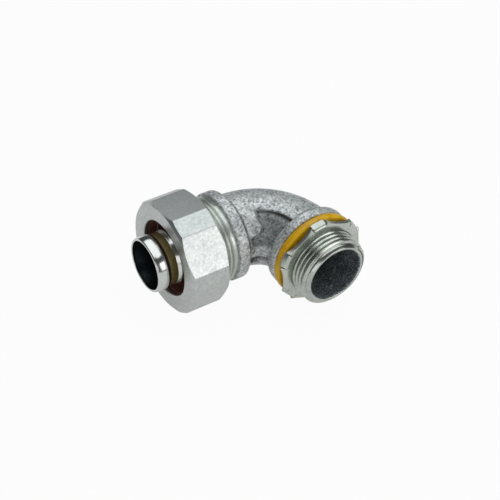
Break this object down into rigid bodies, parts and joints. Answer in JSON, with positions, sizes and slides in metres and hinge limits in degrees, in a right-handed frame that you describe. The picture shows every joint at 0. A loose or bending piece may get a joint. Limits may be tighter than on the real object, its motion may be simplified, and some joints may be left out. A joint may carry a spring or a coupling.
{
  "type": "liquidtight conduit connector",
  "caption": "Ninety-degree liquidtight connector: cast elbow with threaded hub, gasket and locknut on one leg, and a compression gland nut over a ferrule and sealing ring on the other.",
  "frame": {"origin": "bottom centre of the whole connector's box; the hub and gland axes cross at x 18.757 mm, y 8.498 mm, z 20.416 mm", "axes": "-Y along the threaded hub, out of its end; -X along the gland, out of the ferrule's mouth; +Z square to the plane of the bend"},
  "size_m": [0.072, 0.059, 0.0408],
  "materials": {
    "cast_body": "galvanised as-cast malleable iron, grainy satin grey, machined threads",
    "ferrule_steel": "bright plated pressed steel",
    "seal_nylon": "dark brown nylon, glossy",
    "nut_zinc": "zinc plated malleable iron, satin",
    "gasket_yellow": "yellow elastomer, satin",
    "locknut_zinc": "zinc plated pressed steel, satin"
  },
  "bodies": {
    "connector_body": {"elbow_body": "cast_body", "ferrule": "ferrule_steel"},
    "seal_body": {"sealing_ring": "seal_nylon"},
    "nut_body": {"gland_nut": "nut_zinc"},
    "gasket_body": {"hub_gasket": "gasket_yellow"},
    "locknut_body": {"locknut": "locknut_zinc"}
  },
  "joints": [
    {"name": "seal_slide", "type": "slide", "parent": "connector_body", "child": "seal_body", "axis": [-1, 0, 0], "range_m": [0, 0.0048]},
    {"name": "nut_spin", "type": "hinge", "parent": "seal_body", "child": "nut_body", "pos_m": [-0.02, 0.0085, 0.02042], "axis": [-1, 0, 0], "range_deg": [0, 1080]},
    {"name": "gasket_slide", "type": "slide", "parent": "connector_body", "child": "gasket_body", "axis": [0, -1, 0], "range_m": [0, 0.0073]},
    {"name": "locknut_spin", "type": "hinge", "parent": "gasket_body", "child": "locknut_body", "pos_m": [0.01876, -0.02, 0.02042], "axis": [0, -1, 0], "range_deg": [0, 1440]}
  ],
  "couplings": [
    {"joint": "seal_slide", "follows": "nut_spin", "m_per_rad": 0.00025266},
    {"joint": "gasket_slide", "follows": "locknut_spin", "m_per_rad": 0.00028871}
  ]
}
